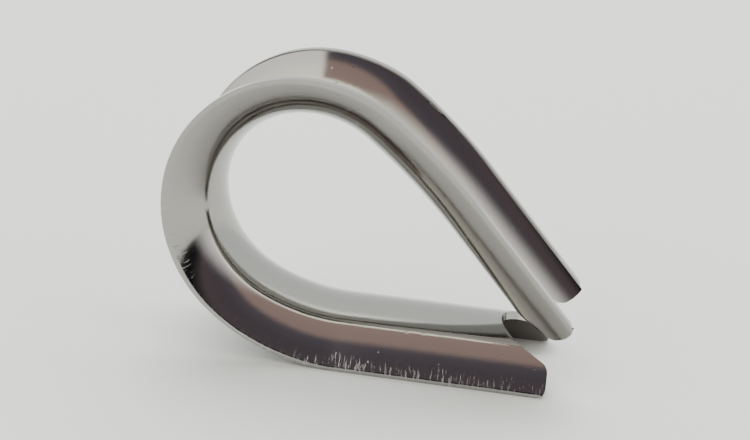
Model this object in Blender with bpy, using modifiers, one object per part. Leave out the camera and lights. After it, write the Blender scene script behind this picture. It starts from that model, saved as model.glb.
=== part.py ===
"""Pointed wire rope thimble for 8 mm rope, pressed from one strip of stainless steel sheet.

The strip is a channel that opens outwards: its round crown is the inside of the eye and the
seat of the rope, and its two flanges stand outwards on either side of the rope. The channel
is bent round a former into a drop shape. Both ends are cut back along the eye's axis, so that
the legs clear each other at the point, and the flanges end square.

Frame, in metres: the thimble stands on the flange edges of its lower leg. X runs along that
leg towards the point, Y across the channel and Z up. X is 0 at the middle of the length, Y at
the middle of the channel and Z at the flange edges that it stands on.
"""
import math

import bmesh
import bpy
from mathutils import Vector

SHEET = 0.0009                      # thickness of the strip
# Arcs of the eye side from the crown's middle outwards: the slope that each ends at, its
# radius and its facets. The former leaves a broad crown, a tighter bend and a fairly flat
# flange, whose arc runs on to the flange's edge.
CROWN_ARC = (math.radians(24), 0.0088, 3)
BEND_ARC = (math.radians(42), 0.0030, 4)
FLANGE_RADIUS = 0.0120
FLANGE_STEPS = 3
LEG_FLANGE = 0.0055                 # crown's eye side to flange edge, on the legs
NOSE_FLANGE = 0.0051                # round the nose, where pressing draws the flanges in
FLANGE_EASE = math.radians(38)      # turn over which the flanges come down to that
EDGE_LAND = 0.0004                  # last stretch of a flange, parallel to the middle plane

LEG_ANGLE = math.radians(48.3)      # between the two legs
# Bends from the lower leg to the upper, as (turn, radius of the crown's eye side). The lower
# shoulder is pulled round further than the upper, which the strip leaves almost straight.
LOWER_SHOULDER = (math.radians(27.1), 0.0188)
NOSE_START = (math.radians(73.3), 0.0106)
NOSE_END = (math.radians(116.9), 0.0097)
UPPER_SHOULDER_RADIUS = 0.0655      # takes the turn that the others leave

TIP_PAST_POINT = 0.0026             # squared leg end, past where the crowns would meet
HALF_GAP = 0.0012                   # from the eye's axis to the slanting cut of a leg
CORNER_RADIUS = 0.0011              # corners of a leg's end, seen from the side
CORNER_CUTS = 4
EDGE_ROUND = 0.00025                # tumbled edges

TURN_STEP = math.radians(3.2)       # turn of the path between two stations
LEG_STATIONS = 3                    # stations on each straight leg
SMALLEST_EDGE = 0.00008             # shorter ones left by the cuts are closed up
FULL_TURN = math.pi + LEG_ANGLE     # of the path, from leg to leg

STEEL_COLOUR = (0.46, 0.44, 0.42, 1.0)
STEEL_ROUGHNESS = 0.22


def clear_scene():
    """Remove what is in the scene, and collections from an earlier run."""
    for obj in list(bpy.data.objects):
        bpy.data.objects.remove(obj, do_unlink=True)
    for collection in list(bpy.data.collections):
        bpy.data.collections.remove(collection)


def steel_material():
    """Cold-pressed stainless steel, polished by tumbling."""
    material = bpy.data.materials.new("polished_stainless")
    material.use_nodes = True
    shader = material.node_tree.nodes["Principled BSDF"]
    shader.inputs["Base Color"].default_value = STEEL_COLOUR
    shader.inputs["Metallic"].default_value = 1.0
    shader.inputs["Roughness"].default_value = STEEL_ROUGHNESS
    return material


def arc_points(start, start_slope, end_slope, radius, steps):
    """Points (across, outwards) of an arc of the section, without its start."""
    points = []
    for step in range(1, steps + 1):
        slope = start_slope + (end_slope - start_slope) * step / steps
        points.append((start[0] + radius * (math.sin(slope) - math.sin(start_slope)),
                       start[1] + radius * (math.cos(start_slope) - math.cos(slope))))
    return points


def channel_profile(height):
    """Eye side of the channel from edge to edge, as (across, outwards) pairs.

    Every station has the same section; the flange's arc ends where its height is reached, and
    a short land follows it.
    """
    half = [(0.0, 0.0)]
    slope = 0.0
    for end_slope, radius, steps in (CROWN_ARC, BEND_ARC):
        half += arc_points(half[-1], slope, end_slope, radius, steps)
        slope = end_slope
    rise = height - EDGE_LAND - half[-1][1]
    end_slope = math.acos(math.cos(slope) - rise / FLANGE_RADIUS)
    half += arc_points(half[-1], slope, end_slope, FLANGE_RADIUS, FLANGE_STEPS)
    half.append((half[-1][0], height))
    return [(-across, outwards) for across, outwards in reversed(half[1:])] + half


def eye_path():
    """Stations (x, z, turn) along the middle of the crown, from the lower tip to the upper.

    x and z start at the end of the lower leg's straight stretch, and turn is the angle
    through which the path has turned by that station.
    """
    bends = [LOWER_SHOULDER, NOSE_START, NOSE_END]
    turn_left = FULL_TURN - sum(bend_turn for bend_turn, _ in bends)
    x = z = turn = 0.0
    bent = [(x, z, turn)]
    for arc_turn, radius in bends + [(turn_left, UPPER_SHOULDER_RADIUS)]:
        steps = math.ceil(arc_turn / TURN_STEP)
        step = arc_turn / steps
        chord = 2 * radius * math.sin(step / 2)
        for _ in range(steps):
            x -= chord * math.cos(turn + step / 2)
            z += chord * math.sin(turn + step / 2)
            turn += step
            bent.append((x, z, turn))
    lower_length = x + z / math.tan(LEG_ANGLE) + TIP_PAST_POINT
    upper_length = z / math.sin(LEG_ANGLE) + TIP_PAST_POINT
    lower, upper = [], []
    for station in range(LEG_STATIONS):
        share = 1 - station / LEG_STATIONS
        along = upper_length * share
        lower.append((lower_length * share, 0.0, 0.0))
        upper.insert(0, (x + along * math.cos(LEG_ANGLE), z - along * math.sin(LEG_ANGLE), turn))
    return lower + bent + upper


def flange_height(turn):
    """Flange height at a station: full on the legs, and easing to the nose's."""
    turn_from_leg = min(turn, FULL_TURN - turn)
    share = min(max(turn_from_leg / FLANGE_EASE, 0.0), 1.0)
    ease = share * share * (3 - 2 * share)
    return LEG_FLANGE + (NOSE_FLANGE - LEG_FLANGE) * ease


def lofted_channel(path):
    """Loft the channel's eye side through its sections: a bmesh with an open edge.

    Returns the bmesh and its vertices, one list for each station.
    """
    bm = bmesh.new()
    sections = []
    for x, z, turn in path:
        out_x, out_z = -math.sin(turn), -math.cos(turn)
        section = []
        for across, outwards in channel_profile(flange_height(turn)):
            section.append(bm.verts.new((x + out_x * outwards, across, z + out_z * outwards)))
        sections.append(section)
    for section, following in zip(sections, sections[1:]):
        for corner in range(len(section) - 1):
            bm.faces.new((section[corner], section[corner + 1],
                          following[corner + 1], following[corner]))
    return bm, sections


def rounded_corner(corner, first_normal, last_normal):
    """Planes (point, normal) that round the convex corner between two straight cuts."""
    between = first_normal.angle(last_normal)
    inset = CORNER_RADIUS / math.cos(between / 2)
    centre = corner - (first_normal + last_normal).normalized() * inset
    planes = []
    for cut in range(1, CORNER_CUTS):
        normal = first_normal.slerp(last_normal, cut / CORNER_CUTS)
        planes.append((centre + normal * CORNER_RADIUS, normal))
    return planes


def leg_end_cuts():
    """Cuts of a leg's end in its side view, as (point, normal).

    The view's first axis runs along the leg from the point of the eye, its second outwards.
    The crown and flanges are cut along the eye's axis, and then the square tip, which the
    loft leaves, gets its two corners rounded.
    """
    half_angle = LEG_ANGLE / 2
    slant = Vector((math.sin(half_angle), -math.cos(half_angle)))
    slant_point = slant * -HALF_GAP
    square = Vector((1.0, 0.0))
    edge = Vector((0.0, 1.0))
    slant_drop = TIP_PAST_POINT * math.tan(half_angle) + HALF_GAP / math.cos(half_angle)
    cuts = [(slant_point, slant)]
    cuts += rounded_corner(Vector((TIP_PAST_POINT, slant_drop)), slant, square)
    cuts += rounded_corner(Vector((TIP_PAST_POINT, LEG_FLANGE)), square, edge)
    return cuts


def trim_leg(bm, leg_faces, point, along, outwards):
    """Make the end cuts on one leg, whose crown would meet the other's at point."""
    geometry = set(leg_faces)
    for face in leg_faces:
        geometry.update(face.edges)
        geometry.update(face.verts)
    geometry = list(geometry)
    for (cut_along, cut_outwards), normal in leg_end_cuts():
        cut = bmesh.ops.bisect_plane(
            bm, geom=geometry, dist=1e-6, clear_outer=True,
            plane_co=point + along * cut_along + outwards * cut_outwards,
            plane_no=along * normal.x + outwards * normal.y)
        geometry = [item for item in cut["geom"] if item.is_valid]


def faces_between(sections):
    """Faces of the loft that lie between the given neighbouring sections."""
    corners = {vert for section in sections for vert in section}
    faces = {face for vert in corners for face in vert.link_faces}
    return [face for face in faces if corners.issuperset(face.verts)]


def thimble_mesh():
    """The thimble's eye side with its leg ends trimmed, standing at z = 0."""
    path = eye_path()
    bm, sections = lofted_channel(path)
    lower_leg = faces_between(sections[:LEG_STATIONS + 1])
    upper_leg = faces_between(sections[-LEG_STATIONS - 1:])
    point = Vector((path[0][0] - TIP_PAST_POINT, 0.0, 0.0))
    upper_along = Vector((math.cos(LEG_ANGLE), 0.0, -math.sin(LEG_ANGLE)))
    upper_outwards = Vector((math.sin(LEG_ANGLE), 0.0, math.cos(LEG_ANGLE)))
    trim_leg(bm, lower_leg, point, Vector((1.0, 0.0, 0.0)), Vector((0.0, 0.0, -1.0)))
    trim_leg(bm, upper_leg, point, upper_along, upper_outwards)
    bmesh.ops.remove_doubles(bm, verts=bm.verts, dist=SMALLEST_EDGE)
    middle_x = (min(vert.co.x for vert in bm.verts) + max(vert.co.x for vert in bm.verts)) / 2
    bmesh.ops.translate(bm, verts=bm.verts, vec=(-middle_x, 0.0, LEG_FLANGE))
    mesh = bpy.data.meshes.new("thimble")
    bm.to_mesh(mesh)
    bm.free()
    return mesh


def thimble(collection):
    """The one piece: the trimmed sheet given its thickness towards the rope, edges rounded."""
    mesh = thimble_mesh()
    obj = bpy.data.objects.new("thimble", mesh)
    collection.objects.link(obj)
    mesh.materials.append(steel_material())
    mesh.shade_smooth()
    solidify = obj.modifiers.new("sheet_thickness", "SOLIDIFY")
    solidify.thickness = SHEET
    solidify.offset = -1.0              # away from the eye, into the groove
    solidify.use_even_offset = True
    bevel = obj.modifiers.new("tumbled_edges", "BEVEL")
    bevel.limit_method = "ANGLE"
    bevel.angle_limit = math.radians(50)
    bevel.width = EDGE_ROUND
    bevel.segments = 2
    return obj


def main():
    """Build the thimble in its own collection."""
    clear_scene()
    collection = bpy.data.collections.new("wire_rope_thimble")
    bpy.context.scene.collection.children.link(collection)
    thimble(collection)


if __name__ == "__main__":
    main()
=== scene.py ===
"""Looks of a pointed wire rope thimble, pressed from one strip of stainless sheet.

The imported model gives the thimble's place and size. This script makes its fine surface, its
tumbled stainless finish, and a small studio: pale paper under and behind the thimble, a room
around it that the metal mirrors, dim in front and pale elsewhere, and soft light from above.

Lengths are in metres unless a name says otherwise. The frame has X along the lower leg
towards the point of the eye, Y across the channel and Z up.
"""

import logging
import math
from dataclasses import dataclass
from enum import Enum

import bmesh
import bpy
import numpy as np
from mathutils import Matrix, Vector


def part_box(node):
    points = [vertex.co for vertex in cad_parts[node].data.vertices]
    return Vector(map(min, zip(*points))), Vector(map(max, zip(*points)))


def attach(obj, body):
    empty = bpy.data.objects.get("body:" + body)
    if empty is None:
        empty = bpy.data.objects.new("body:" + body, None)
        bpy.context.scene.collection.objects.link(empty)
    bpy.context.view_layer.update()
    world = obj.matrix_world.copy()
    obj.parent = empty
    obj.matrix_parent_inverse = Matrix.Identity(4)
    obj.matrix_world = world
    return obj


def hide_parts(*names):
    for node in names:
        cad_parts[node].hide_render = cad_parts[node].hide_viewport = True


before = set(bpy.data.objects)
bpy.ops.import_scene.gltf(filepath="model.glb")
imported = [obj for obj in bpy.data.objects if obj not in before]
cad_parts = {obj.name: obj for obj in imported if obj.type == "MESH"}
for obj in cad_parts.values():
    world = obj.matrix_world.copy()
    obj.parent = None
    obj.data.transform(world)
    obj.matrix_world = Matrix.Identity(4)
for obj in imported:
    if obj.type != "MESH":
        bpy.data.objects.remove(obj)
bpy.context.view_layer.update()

MM = 0.001
POINTS_AT_ONCE = 4000               # keeps the distance tables small
log = logging.getLogger("thimble")

Station = tuple[float, float, float]            # x, z and turn of the strip's path
Cut = tuple[Vector, Vector]                     # point and normal, in a leg's side view
Stops = tuple[tuple[float, str], ...]           # position and colour along a ramp


def linear(hex_colour: str) -> tuple[float, float, float, float]:
    """Turn an sRGB hex colour to the linear values that shaders take.

    Args:
        hex_colour: six hex digits after a hash.

    Returns:
        Red, green, blue and a full alpha.
    """
    digits = hex_colour.lstrip("#")
    channels = []
    for start in (0, 2, 4):
        value = int(digits[start:start + 2], 16) / 255
        channels.append(value / 12.92 if value <= 0.04045 else ((value + 0.055) / 1.055) ** 2.4)
    return (*channels, 1.0)


def add_node(tree: bpy.types.NodeTree, kind: str, links: dict | None = None,
             sockets: dict | None = None, **settings: object) -> bpy.types.Node:
    """Add one node with its settings, its sockets' values and its incoming links.

    Args:
        tree: the node tree that it goes in.
        kind: the node's type name.
        links: output socket for each input that is fed, by the input's name or index.
        sockets: value for each input that isn't, by its name or index.
        **settings: properties of the node itself.

    Returns:
        The new node.
    """
    node = tree.nodes.new(kind)
    for name, value in settings.items():
        setattr(node, name, value)
    for key, value in (sockets or {}).items():
        node.inputs[key].default_value = value
    for key, output in (links or {}).items():
        tree.links.new(output, node.inputs[key])
    return node


def smooth(share: float | np.ndarray) -> float | np.ndarray:
    """Ease from 0 to 1 with no kink at either end."""
    share = np.clip(share, 0.0, 1.0)
    return share * share * (3 - 2 * share)


class Leg(Enum):
    """The two legs of the strip, by their place as the thimble stands."""

    LOWER = "lower"
    UPPER = "upper"


@dataclass(frozen=True)
class TumbledStainless:
    """Stainless steel sheet, cold pressed and then tumbled to a soft mirror.

    The eye sees a nearly mirror-smooth grey metal. Pressing leaves short pale drawing marks that
    run from the flange edges inwards, the sheet's own grain runs faintly along it, and tumbling
    leaves small pits and a slightly uneven gloss.
    """

    metal: str = "#9b9995"              # steel's own reflection, a little warm
    worn_metal: str = "#b7b5b2"         # in the drawing marks
    roughness: float = 0.07
    mark_roughness: float = 0.34        # added in each drawing mark
    cloud_roughness: float = 0.05       # added unevenly by tumbling
    cloud_per_mm: float = 0.35
    mark_spacing_mm: float = 0.24       # real marks are near 0.1 mm; wider, so that they show
    mark_length: float = 7.0            # length of a mark, in spacings
    mark_levels: tuple[float, float] = (0.54, 0.80)     # of the noise, from clean to full depth
    marks_from_mm: float = 8.6          # from the crown's middle, where the noise is 0
    marks_fade_mm: float = 2.0
    tuft_mm: float = 2.6                # how much nearer the noise brings their start
    tufts_per_mm: float = 0.8
    marks_end_mm: float = 46.0          # length of strip, from the lower tip, that has them
    marks_end_fade_mm: float = 6.0
    eye_side_mm: float = 0.3            # depth that still counts as the eye side
    grain_spacing_mm: float = 0.10
    grain_length: float = 14.0          # in spacings
    grain_share: float = 0.22           # of the marks' height
    pit_spacing_mm: float = 1.5
    pit_radii: tuple[float, float] = (0.10, 0.02)       # rim and floor, in spacings
    pit_depth: float = 0.9              # in heights of a mark
    bump_mm: float = 0.012

    def build(self) -> bpy.types.Material:
        """Make the material.

        Returns:
            A material that reads the sheet's own coordinates from the mesh.
        """
        material = bpy.data.materials.new("tumbled_stainless")
        material.use_nodes = True
        tree = material.node_tree
        tree.nodes.clear()
        sheet = add_node(tree, "ShaderNodeAttribute", attribute_name="sheet_mm")
        place = add_node(tree, "ShaderNodeTexCoord")
        split = add_node(tree, "ShaderNodeSeparateXYZ", links={0: sheet.outputs["Vector"]})
        dense = self.marked_area(tree, sheet, split)
        marks = self.drawing_marks(tree, sheet, dense)
        grain = self.grain(tree, sheet)
        pits = self.pits(tree, place)
        height = add_node(tree, "ShaderNodeMath", operation="MULTIPLY_ADD",
                          links={0: grain, 2: marks}, sockets={1: self.grain_share})
        height = add_node(tree, "ShaderNodeMath", operation="SUBTRACT",
                          links={0: height.outputs[0], 1: pits})
        bump = add_node(tree, "ShaderNodeBump", links={"Height": height.outputs[0]},
                        sockets={"Strength": 1.0, "Distance": self.bump_mm * MM})
        rough = add_node(tree, "ShaderNodeMath", operation="MULTIPLY_ADD",
                         links={0: marks}, sockets={1: self.mark_roughness, 2: self.roughness})
        cloud = add_node(tree, "ShaderNodeTexNoise", links={"Vector": sheet.outputs["Vector"]},
                         sockets={"Scale": self.cloud_per_mm, "Detail": 3.0})
        rough = add_node(tree, "ShaderNodeMath", operation="MULTIPLY_ADD",
                         links={0: cloud.outputs["Fac"], 2: rough.outputs[0]},
                         sockets={1: self.cloud_roughness})
        colour = add_node(tree, "ShaderNodeMix", data_type="RGBA",
                          links={"Factor": marks},
                          sockets={6: linear(self.metal), 7: linear(self.worn_metal)})
        shader = add_node(tree, "ShaderNodeBsdfPrincipled",
                          links={"Base Color": colour.outputs[2], "Roughness": rough.outputs[0],
                                 "Normal": bump.outputs[0]},
                          sockets={"Metallic": 1.0})
        add_node(tree, "ShaderNodeOutputMaterial", links={"Surface": shader.outputs[0]})
        return material

    def marked_area(self, tree: bpy.types.NodeTree, sheet: bpy.types.Node,
                    split: bpy.types.Node) -> bpy.types.NodeSocket:
        """Say where the drawing marks lie: in uneven tufts from the flanges' edges inwards.

        Args:
            tree: the material's nodes.
            sheet: the sheet's coordinates.
            split: the same, split to along, across and depth.

        Returns:
            A socket from 0, clean, to 1, dense.
        """
        across = add_node(tree, "ShaderNodeMath", operation="ABSOLUTE",
                          links={0: split.outputs[1]})
        tufts = add_node(tree, "ShaderNodeTexNoise", links={"Vector": sheet.outputs["Vector"]},
                         sockets={"Scale": self.tufts_per_mm, "Detail": 3.0})
        reach = add_node(tree, "ShaderNodeMath", operation="MULTIPLY_ADD",
                         links={0: tufts.outputs["Fac"], 2: across.outputs[0]},
                         sockets={1: self.tuft_mm})
        edge = add_node(tree, "ShaderNodeMapRange", interpolation_type="SMOOTHSTEP",
                        links={"Value": reach.outputs[0]},
                        sockets={"From Min": self.marks_from_mm,
                                 "From Max": self.marks_from_mm + self.marks_fade_mm})
        # The marks lie on the eye side only, along the lower leg and the bend that follows it.
        first = add_node(tree, "ShaderNodeMapRange", interpolation_type="SMOOTHSTEP",
                         links={"Value": split.outputs[0]},
                         sockets={"From Min": self.marks_end_mm,
                                  "From Max": self.marks_end_mm - self.marks_end_fade_mm})
        eye_side = add_node(tree, "ShaderNodeMath", operation="LESS_THAN",
                            links={0: split.outputs[2]}, sockets={1: self.eye_side_mm})
        both = add_node(tree, "ShaderNodeMath", operation="MULTIPLY",
                        links={0: first.outputs[0], 1: eye_side.outputs[0]})
        return add_node(tree, "ShaderNodeMath", operation="MULTIPLY",
                        links={0: edge.outputs[0], 1: both.outputs[0]}).outputs[0]

    def drawing_marks(self, tree: bpy.types.NodeTree, sheet: bpy.types.Node,
                      dense: bpy.types.NodeSocket) -> bpy.types.NodeSocket:
        """Short marks across the flanges, where the former dragged on the sheet.

        Args:
            tree: the material's nodes.
            sheet: the sheet's coordinates.
            dense: where they lie.

        Returns:
            Their height, from 0 to 1.
        """
        per_mm = 1 / self.mark_spacing_mm
        lengthwise = per_mm / self.mark_length
        clean, full = self.mark_levels
        stretched = add_node(tree, "ShaderNodeVectorMath", operation="MULTIPLY",
                             links={0: sheet.outputs["Vector"]},
                             sockets={1: (per_mm, lengthwise, lengthwise)})
        streaks = add_node(tree, "ShaderNodeTexNoise", links={"Vector": stretched.outputs[0]},
                           sockets={"Scale": 1.0, "Detail": 3.0, "Roughness": 0.6})
        cut = add_node(tree, "ShaderNodeMapRange", links={"Value": streaks.outputs["Fac"]},
                       sockets={"From Min": clean, "From Max": full})
        return add_node(tree, "ShaderNodeMath", operation="MULTIPLY",
                        links={0: cut.outputs[0], 1: dense}).outputs[0]

    def grain(self, tree: bpy.types.NodeTree, sheet: bpy.types.Node) -> bpy.types.NodeSocket:
        """The rolled sheet's faint grain, along the strip.

        Args:
            tree: the material's nodes.
            sheet: the sheet's coordinates.

        Returns:
            Its height, from 0 to 1.
        """
        per_mm = 1 / self.grain_spacing_mm
        stretched = add_node(tree, "ShaderNodeVectorMath", operation="MULTIPLY",
                             links={0: sheet.outputs["Vector"]},
                             sockets={1: (per_mm / self.grain_length, per_mm, per_mm)})
        return add_node(tree, "ShaderNodeTexNoise", links={"Vector": stretched.outputs[0]},
                        sockets={"Scale": 1.0, "Detail": 2.0}).outputs["Fac"]

    def pits(self, tree: bpy.types.NodeTree, place: bpy.types.Node) -> bpy.types.NodeSocket:
        """Small pits left by the tumbling media.

        Args:
            tree: the material's nodes.
            place: texture coordinates, of which the object's are used.

        Returns:
            Their depth, from 0 to pit_depth.
        """
        rim, bottom = self.pit_radii
        cells = add_node(tree, "ShaderNodeTexVoronoi", links={"Vector": place.outputs["Object"]},
                         sockets={"Scale": 1 / (self.pit_spacing_mm * MM)})
        return add_node(tree, "ShaderNodeMapRange", links={"Value": cells.outputs["Distance"]},
                        sockets={"From Min": rim, "From Max": bottom,
                                 "To Max": self.pit_depth}).outputs[0]


@dataclass
class Thimble:
    """The one piece: a channel bent to a drop-shaped eye, with trimmed leg ends.

    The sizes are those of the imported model, and the surface is made finer: more stations along
    the strip, more facets across it and round its edges. The one difference of form is the upper
    leg's end, which is cut a little off square.
    """

    sheet: float = 0.9 * MM
    leg_flange: float = 5.5 * MM
    nose_flange: float = 5.1 * MM
    flange_ease: float = math.radians(38)
    edge_land: float = 0.4 * MM
    # Arcs of the section, as (slope at the end, radius, facets).
    crown_arc: tuple[float, float, int] = (math.radians(24), 8.8 * MM, 16)
    bend_arc: tuple[float, float, int] = (math.radians(42), 3.0 * MM, 14)
    flange_radius: float = 12.0 * MM
    flange_steps: int = 22
    leg_angle: float = math.radians(48.3)
    # Bends of the path, as (turn, radius).
    lower_shoulder: tuple[float, float] = (math.radians(27.1), 18.8 * MM)
    nose_start: tuple[float, float] = (math.radians(73.3), 10.6 * MM)
    nose_end: tuple[float, float] = (math.radians(116.9), 9.7 * MM)
    upper_shoulder_radius: float = 65.5 * MM
    tip_past_point: float = 2.6 * MM
    half_gap: float = 1.2 * MM
    corner_radius: float = 1.1 * MM
    corner_cuts: int = 8
    upper_skew: float = 0.09            # how far its end recedes for each unit across
    edge_round: float = 0.17 * MM
    edge_segments: int = 5
    edge_angle: float = math.radians(50)        # sharper edges than this are rounded
    turn_step: float = math.radians(1.0)
    leg_stations: int = 40
    smallest_edge: float = 0.02 * MM
    below_sheet: float = 0.5 * MM       # how far past the sheet a point still belongs to a station
    above_sheet: float = 1.0 * MM

    @property
    def full_turn(self) -> float:
        """Turn of the strip's path from leg to leg."""
        return math.pi + self.leg_angle

    def arc(self, start: tuple[float, float], slopes: tuple[float, float], radius: float,
            steps: int) -> list[tuple[float, float]]:
        """Points of one arc of the section.

        Args:
            start: where the arc starts, as (across, outwards).
            slopes: the section's slope at its start and end.
            radius: its radius.
            steps: its facets.

        Returns:
            The arc's points without its start.
        """
        first, last = slopes
        points = []
        for step in range(1, steps + 1):
            slope = first + (last - first) * step / steps
            points.append((start[0] + radius * (math.sin(slope) - math.sin(first)),
                           start[1] + radius * (math.cos(first) - math.cos(slope))))
        return points

    def profile(self, height: float) -> list[tuple[float, float]]:
        """Eye side of the channel from edge to edge: broad crown, tighter bend, flat flange.

        Args:
            height: flange height at this station.

        Returns:
            Points as (across, outwards).
        """
        half = [(0.0, 0.0)]
        slope = 0.0
        for end_slope, radius, steps in (self.crown_arc, self.bend_arc):
            half += self.arc(half[-1], (slope, end_slope), radius, steps)
            slope = end_slope
        rise = height - self.edge_land - half[-1][1]
        end_slope = math.acos(math.cos(slope) - rise / self.flange_radius)
        half += self.arc(half[-1], (slope, end_slope), self.flange_radius, self.flange_steps)
        half.append((half[-1][0], height))
        return [(-across, outwards) for across, outwards in reversed(half[1:])] + half

    def path(self) -> list[Station]:
        """Stations along the middle of the crown, from the lower tip to the upper.

        Returns:
            Each as (x, z, turn), from the end of the lower leg's straight stretch.
        """
        bends = [self.lower_shoulder, self.nose_start, self.nose_end]
        turn_left = self.full_turn - sum(bend_turn for bend_turn, _ in bends)
        x = z = turn = 0.0
        bent = [(x, z, turn)]
        for bend_turn, radius in bends + [(turn_left, self.upper_shoulder_radius)]:
            steps = math.ceil(bend_turn / self.turn_step)
            step = bend_turn / steps
            chord = 2 * radius * math.sin(step / 2)
            for _ in range(steps):
                x -= chord * math.cos(turn + step / 2)
                z += chord * math.sin(turn + step / 2)
                turn += step
                bent.append((x, z, turn))
        lower_length = x + z / math.tan(self.leg_angle) + self.tip_past_point
        upper_length = z / math.sin(self.leg_angle) + self.tip_past_point
        lower, upper = [], []
        for station in range(self.leg_stations):
            share = 1 - station / self.leg_stations
            along = upper_length * share
            lower.append((lower_length * share, 0.0, 0.0))
            upper.insert(0, (x + along * math.cos(self.leg_angle),
                             z - along * math.sin(self.leg_angle), turn))
        return lower + bent + upper

    def flange_height(self, turn: float) -> float:
        """Flange height where the path has turned by that much."""
        share = smooth(min(turn, self.full_turn - turn) / self.flange_ease)
        return self.leg_flange + (self.nose_flange - self.leg_flange) * share

    def loft(self, path: list[Station]) -> tuple[bmesh.types.BMesh, list[list[bmesh.types.BMVert]]]:
        """Loft the channel's eye side through its sections.

        Args:
            path: the stations.

        Returns:
            An open bmesh, and its vertices, one list for each station.
        """
        bm = bmesh.new()
        sections = []
        for x, z, turn in path:
            out_x, out_z = -math.sin(turn), -math.cos(turn)
            sections.append([bm.verts.new((x + out_x * outwards, across, z + out_z * outwards))
                             for across, outwards in self.profile(self.flange_height(turn))])
        for section, following in zip(sections, sections[1:]):
            for corner in range(len(section) - 1):
                bm.faces.new((section[corner], section[corner + 1],
                              following[corner + 1], following[corner]))
        return bm, sections

    def rounded_corner(self, corner: Vector, first: Vector, last: Vector) -> list[Cut]:
        """Planes that round the convex corner between two straight cuts.

        Args:
            corner: where the cuts meet, in the leg's side view.
            first: the first cut's normal.
            last: the last cut's.

        Returns:
            Planes as (point, normal).
        """
        inset = self.corner_radius / math.cos(first.angle(last) / 2)
        centre = corner - (first + last).normalized() * inset
        normals = [first.slerp(last, cut / self.corner_cuts) for cut in range(1, self.corner_cuts)]
        return [(centre + normal * self.corner_radius, normal) for normal in normals]

    def leg_end_cuts(self) -> list[Cut]:
        """Cuts of a leg's end in its side view: slanting along the eye's axis, then square.

        Returns:
            Planes as (point, normal); the view's axes run along the leg and outwards.
        """
        half_angle = self.leg_angle / 2
        slant = Vector((math.sin(half_angle), -math.cos(half_angle)))
        square, edge = Vector((1.0, 0.0)), Vector((0.0, 1.0))
        drop = self.tip_past_point * math.tan(half_angle) + self.half_gap / math.cos(half_angle)
        cuts = [(slant * -self.half_gap, slant)]
        cuts += self.rounded_corner(Vector((self.tip_past_point, drop)), slant, square)
        cuts += self.rounded_corner(Vector((self.tip_past_point, self.leg_flange)), square, edge)
        return cuts

    def trim(self, bm: bmesh.types.BMesh, sections: list[list[bmesh.types.BMVert]], leg: Leg,
             point: Vector) -> None:
        """Make the end cuts on one leg.

        Args:
            bm: the loft.
            sections: its vertices by station.
            leg: which leg.
            point: where the two crowns would meet.
        """
        if leg is Leg.LOWER:
            skew = 0.0
            along, outwards = Vector((1.0, 0.0, 0.0)), Vector((0.0, 0.0, -1.0))
            corners = {vert for section in sections[:self.leg_stations + 1] for vert in section}
        else:
            skew = self.upper_skew
            cos, sin = math.cos(self.leg_angle), math.sin(self.leg_angle)
            along, outwards = Vector((cos, 0.0, -sin)), Vector((sin, 0.0, cos))
            corners = {vert for section in sections[-self.leg_stations - 1:] for vert in section}
        faces = [face for face in bm.faces if corners.issuperset(face.verts)]
        # A dict keeps the order in which they are added, so that each run cuts alike.
        geometry = dict.fromkeys(faces)
        for face in faces:
            geometry.update(dict.fromkeys(face.edges))
            geometry.update(dict.fromkeys(face.verts))
        geometry = list(geometry)
        # The planes turn about the far flange, so that the leg keeps its full length there.
        far_side = Vector((0.0, max(across for across, _ in self.profile(self.leg_flange)), 0.0))
        for (cut_along, cut_outwards), normal in self.leg_end_cuts():
            cut = bmesh.ops.bisect_plane(
                bm, geom=geometry, dist=1e-7, clear_outer=True,
                plane_co=point + far_side + along * cut_along + outwards * cut_outwards,
                plane_no=along * normal.x + outwards * normal.y
                - far_side.normalized() * skew * normal.x)
            geometry = [item for item in cut["geom"] if item.is_valid]

    def eye_side(self, path: list[Station]) -> bpy.types.Mesh:
        """The trimmed eye side, in place in the frame.

        Args:
            path: the stations, which start at x = 0, z = 0.

        Returns:
            An open mesh.
        """
        bm, sections = self.loft(path)
        point = Vector((path[0][0] - self.tip_past_point, 0.0, 0.0))
        self.trim(bm, sections, Leg.LOWER, point)
        self.trim(bm, sections, Leg.UPPER, point)
        bmesh.ops.remove_doubles(bm, verts=bm.verts, dist=self.smallest_edge)
        bmesh.ops.translate(bm, verts=bm.verts, vec=self.shift(path))
        mesh = bpy.data.meshes.new("thimble_eye_side")
        bm.to_mesh(mesh)
        bm.free()
        return mesh

    def shift(self, path: list[Station]) -> Vector:
        """Way from the path's own start to the frame: nose to the box's low X, edges to z = 0."""
        nose = min(x - math.sin(turn) * self.flange_height(turn) for x, _, turn in path)
        low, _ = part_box("thimble")
        return Vector((low.x - nose, 0.0, low.z + self.leg_flange))

    def solid(self, mesh: bpy.types.Mesh) -> bpy.types.Mesh:
        """Give the sheet its thickness towards the rope, and round its edges.

        Args:
            mesh: the eye side.

        Returns:
            The closed mesh with its modifiers applied.
        """
        mesh.shade_smooth()
        blank = bpy.data.objects.new("thimble_blank", mesh)
        bpy.context.scene.collection.objects.link(blank)
        solidify = blank.modifiers.new("sheet_thickness", "SOLIDIFY")
        solidify.thickness = self.sheet
        solidify.offset = -1.0
        solidify.use_even_offset = True
        bevel = blank.modifiers.new("tumbled_edges", "BEVEL")
        bevel.limit_method = "ANGLE"
        bevel.angle_limit = self.edge_angle
        bevel.width = self.edge_round
        bevel.segments = self.edge_segments
        bevel.harden_normals = True
        evaluated = blank.evaluated_get(bpy.context.evaluated_depsgraph_get())
        closed = bpy.data.meshes.new_from_object(evaluated)
        bpy.data.objects.remove(blank, do_unlink=True)
        return closed

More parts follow.
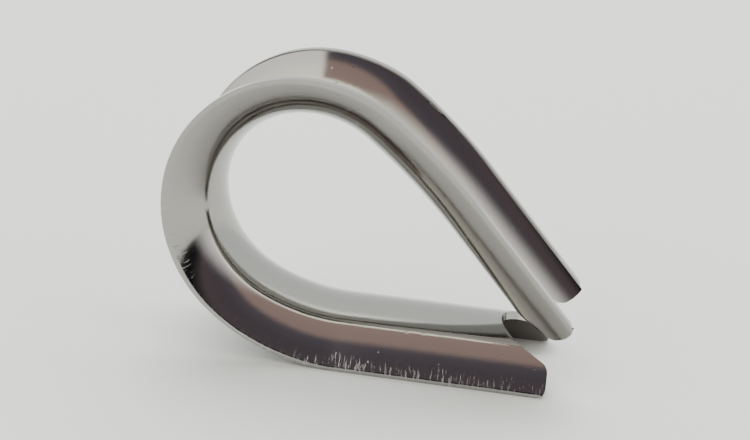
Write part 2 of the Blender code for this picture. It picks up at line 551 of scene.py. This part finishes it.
    def sheet_coordinates(self, mesh: bpy.types.Mesh, path: list[Station]) -> None:
        """Store each point's place on the flat sheet, in millimetres, for the finish.

        Args:
            mesh: the closed mesh.
            path: the stations.
        """
        shift = self.shift(path)
        stations = np.array([(x + shift.x, z + shift.z) for x, z, _ in path])
        turns = np.array([turn for _, _, turn in path])
        lengths = np.r_[0.0, np.cumsum(np.linalg.norm(np.diff(stations, axis=0), axis=1))]
        points = np.empty(len(mesh.vertices) * 3, np.float32)
        mesh.vertices.foreach_get("co", points)
        points = points.reshape(-1, 3).astype(float)
        outward = np.c_[-np.sin(turns), -np.cos(turns)]
        forward = np.c_[-np.cos(turns), np.sin(turns)]
        section = np.array(self.profile(self.leg_flange))
        widths = np.r_[0.0, np.cumsum(np.linalg.norm(np.diff(section, axis=0), axis=1))]
        widths -= widths[-1] / 2
        place = np.empty_like(points)
        for start in range(0, len(points), POINTS_AT_ONCE):
            block = slice(start, start + POINTS_AT_ONCE)
            part = points[block]
            offset = part[:, None, [0, 2]] - stations[None]
            # Each point belongs to the station whose section plane it lies nearest to.
            miss = np.abs((offset * forward[None]).sum(2))
            height = (offset * outward[None]).sum(2)
            elsewhere = (height < -self.below_sheet) | (height > self.leg_flange + self.above_sheet)
            miss[elsewhere] = np.inf
            nearest = miss.argmin(1)
            spot = np.c_[part[:, 1], height[np.arange(len(part)), nearest]]
            gap = np.linalg.norm(spot[:, None] - section[None], axis=2)
            closest = gap.argmin(1)
            place[block] = np.c_[lengths[nearest], widths[closest], gap.min(1)]
        attribute = mesh.attributes.new("sheet_mm", "FLOAT_VECTOR", "POINT")
        attribute.data.foreach_set("vector", (place / MM).astype(np.float32).ravel())

    def build(self, finish: TumbledStainless) -> bpy.types.Object:
        """Make the piece, dress it and put it on its body.

        Args:
            finish: the metal's finish.

        Returns:
            The piece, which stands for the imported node.
        """
        path = self.path()
        mesh = self.solid(self.eye_side(path))
        mesh.name = "pressed_strip"
        self.sheet_coordinates(mesh, path)
        mesh.materials.clear()
        mesh.materials.append(finish.build())
        piece = bpy.data.objects.new("pressed_strip", mesh)
        bpy.context.scene.collection.objects.link(piece)
        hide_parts("thimble")
        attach(piece, "root")
        return piece


@dataclass(frozen=True)
class Border:
    """An upright border between two parts of the room, in front of the thimble."""

    slope: float                        # how much X grows for each unit of -Y along it
    start: float                        # its X straight overhead
    soft: float                         # half its width


@dataclass
class Studio:
    """Pale paper, soft light from above and the room that the metal mirrors."""

    paper: str = "#dbdddc"
    paper_roughness: float = 0.9
    paper_half: float = 0.9
    key_size: float = 0.9
    key_place: tuple[float, float, float] = (-0.10, 0.34, 0.86)
    key_power: float = 10.8
    room_strength: float = 3.2
    left_border: Border = Border(slope=0.0, start=-0.21, soft=0.03)
    right_border: Border = Border(slope=2.1, start=0.0, soft=0.50)
    # The room's colours by angle, as angle_over gives it.
    dim_front: Stops = (
        (0.00, "#050507"), (0.045, "#0e0d10"), (0.075, "#2f2a2d"), (0.10, "#463e41"),
        (0.20, "#413c42"), (0.27, "#48434a"), (0.30, "#7f6e6a"), (0.405, "#86746e"))
    pale_front: Stops = ((0.00, "#c9c8c6"), (0.28, "#dcdad8"))
    overhead_and_back: Stops = (
        (0.415, "#f2f2e2"), (0.440, "#f2f2e2"), (0.450, "#3f4138"), (0.545, "#44463d"),
        (0.570, "#f4f3ea"), (0.610, "#fffff8"), (0.660, "#b6bab7"), (0.880, "#adb2b0"),
        (1.00, "#b0b4b2"))

    def build(self) -> None:
        """Make the paper, the light and the room."""
        self.lay_paper()
        self.hang_light()
        self.surround()

    def lay_paper(self) -> None:
        """Lay the sheet of matt paper that the thimble stands on."""
        bm = bmesh.new()
        bmesh.ops.create_grid(bm, x_segments=1, y_segments=1, size=self.paper_half)
        mesh = bpy.data.meshes.new("paper")
        bm.to_mesh(mesh)
        bm.free()
        floor = bpy.data.objects.new("paper", mesh)
        bpy.context.scene.collection.objects.link(floor)
        material = bpy.data.materials.new("matt_paper")
        material.use_nodes = True
        shader = material.node_tree.nodes["Principled BSDF"]
        shader.inputs["Base Color"].default_value = linear(self.paper)
        shader.inputs["Roughness"].default_value = self.paper_roughness
        mesh.materials.append(material)

    def hang_light(self) -> None:
        """Hang one soft light overhead, which the metal doesn't mirror."""
        light = bpy.data.lights.new("soft_overhead", "AREA")
        light.shape = "DISK"
        light.size = self.key_size
        light.energy = self.key_power
        hung = bpy.data.objects.new("soft_overhead", light)
        hung.location = self.key_place
        hung.rotation_euler = Vector(self.key_place).to_track_quat("Z", "Y").to_euler()
        hung.visible_glossy = False
        bpy.context.scene.collection.objects.link(hung)

    def surround(self) -> None:
        """Colour the room by direction: dim in the middle of the front, pale elsewhere."""
        world = bpy.data.worlds.new("room")
        bpy.context.scene.world = world
        world.use_nodes = True
        tree = world.node_tree
        tree.nodes.clear()
        direction = add_node(tree, "ShaderNodeTexCoord")
        axes = add_node(tree, "ShaderNodeSeparateXYZ",
                        links={0: direction.outputs["Generated"]})
        over = self.angle_over(tree, axes)
        past_left = self.past_border(tree, axes, self.left_border)
        past_right = self.past_border(tree, axes, self.right_border)
        dim = add_node(tree, "ShaderNodeMath", operation="SUBTRACT", use_clamp=True,
                       links={0: past_left, 1: past_right})
        room = add_node(tree, "ShaderNodeMix", data_type="RGBA",
                        links={"Factor": dim.outputs[0],
                               6: self.ramp(tree, over, self.pale_front + self.overhead_and_back),
                               7: self.ramp(tree, over, self.dim_front + self.overhead_and_back)})
        shade = add_node(tree, "ShaderNodeBackground", links={"Color": room.outputs[2]},
                         sockets={"Strength": self.room_strength})
        add_node(tree, "ShaderNodeOutputWorld", links={"Surface": shade.outputs[0]})

    def past_border(self, tree: bpy.types.NodeTree, axes: bpy.types.Node,
                    border: Border) -> bpy.types.NodeSocket:
        """Say how far a direction lies to the right of a border.

        Args:
            tree: the room's nodes.
            axes: the direction, split to X, Y and Z.
            border: the border.

        Returns:
            A socket from 0, left of it, to 1, right of it.
        """
        side = add_node(tree, "ShaderNodeMath", operation="MULTIPLY_ADD",
                        links={0: axes.outputs["Y"], 2: axes.outputs["X"]},
                        sockets={1: border.slope})
        return add_node(tree, "ShaderNodeMapRange", interpolation_type="SMOOTHSTEP",
                        links={"Value": side.outputs[0]},
                        sockets={"From Min": border.start - border.soft,
                                 "From Max": border.start + border.soft}).outputs[0]

    def angle_over(self, tree: bpy.types.NodeTree, axes: bpy.types.Node) -> bpy.types.NodeSocket:
        """Angle over the thimble: 0 at the front horizon, 0.5 overhead, 1 at the back horizon.

        Args:
            tree: the room's nodes.
            axes: the direction, split to X, Y and Z.

        Returns:
            The angle as a share of half a turn.
        """
        front = add_node(tree, "ShaderNodeMath", operation="MULTIPLY",
                         links={0: axes.outputs["Y"]}, sockets={1: -1.0})
        over = add_node(tree, "ShaderNodeMath", operation="ARCTAN2",
                        links={0: axes.outputs["Z"], 1: front.outputs[0]})
        return add_node(tree, "ShaderNodeMath", operation="DIVIDE",
                        links={0: over.outputs[0]}, sockets={1: math.pi}).outputs[0]

    def ramp(self, tree: bpy.types.NodeTree, over: bpy.types.NodeSocket,
             stops: Stops) -> bpy.types.NodeSocket:
        """Colours of one side of the room, from the front horizon over to the back.

        Args:
            tree: the room's nodes.
            over: the angle over the thimble.
            stops: colours by angle.

        Returns:
            The colour.
        """
        room = add_node(tree, "ShaderNodeValToRGB", links={"Fac": over})
        elements = room.color_ramp.elements
        elements[0].position, elements[0].color = stops[0][0], linear(stops[0][1])
        elements[1].position, elements[1].color = stops[-1][0], linear(stops[-1][1])
        for position, colour in stops[1:-1]:
            elements.new(position).color = linear(colour)
        return room.outputs[0]


@dataclass
class Viewpoint:
    """The camera: in front, a little to the right and above, and tilted slightly."""

    azimuth: float = 0.1382             # radians, as the next two
    elevation: float = 0.3785
    roll: float = 0.0660
    distance: float = 132.3 * MM
    focal_mm: float = 58.40
    sensor_mm: float = 36.0
    aim_offset: tuple[float, float, float] = (-0.8 * MM, 0.0, -0.8 * MM)

    def build(self) -> None:
        """Make the camera and give it to the scene."""
        data = bpy.data.cameras.new("camera")
        data.lens = self.focal_mm
        data.sensor_width = self.sensor_mm
        data.clip_start = 5 * MM
        camera = bpy.data.objects.new("camera", data)
        bpy.context.scene.collection.objects.link(camera)
        low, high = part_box("thimble")
        aim = (low + high) / 2 + Vector(self.aim_offset)
        level = math.cos(self.elevation)
        back = Vector((math.sin(self.azimuth) * level, -math.cos(self.azimuth) * level,
                       math.sin(self.elevation)))
        facing = (-back).to_track_quat("-Z", "Y").to_matrix()
        tilt = Matrix.Rotation(self.roll, 3, "Z")
        camera.rotation_euler = (facing @ tilt).to_euler()
        camera.location = aim + back * self.distance
        bpy.context.scene.camera = camera


def main() -> None:
    """Build the camera, the studio and the thimble in order, and report each piece."""
    logging.basicConfig(level=logging.INFO, format="%(name)s: %(message)s")
    Viewpoint().build()
    Studio().build()
    piece = Thimble().build(TumbledStainless())
    log.info("%s: %d faces", piece.name, len(piece.data.polygons))


if __name__ == "__main__":
    main()
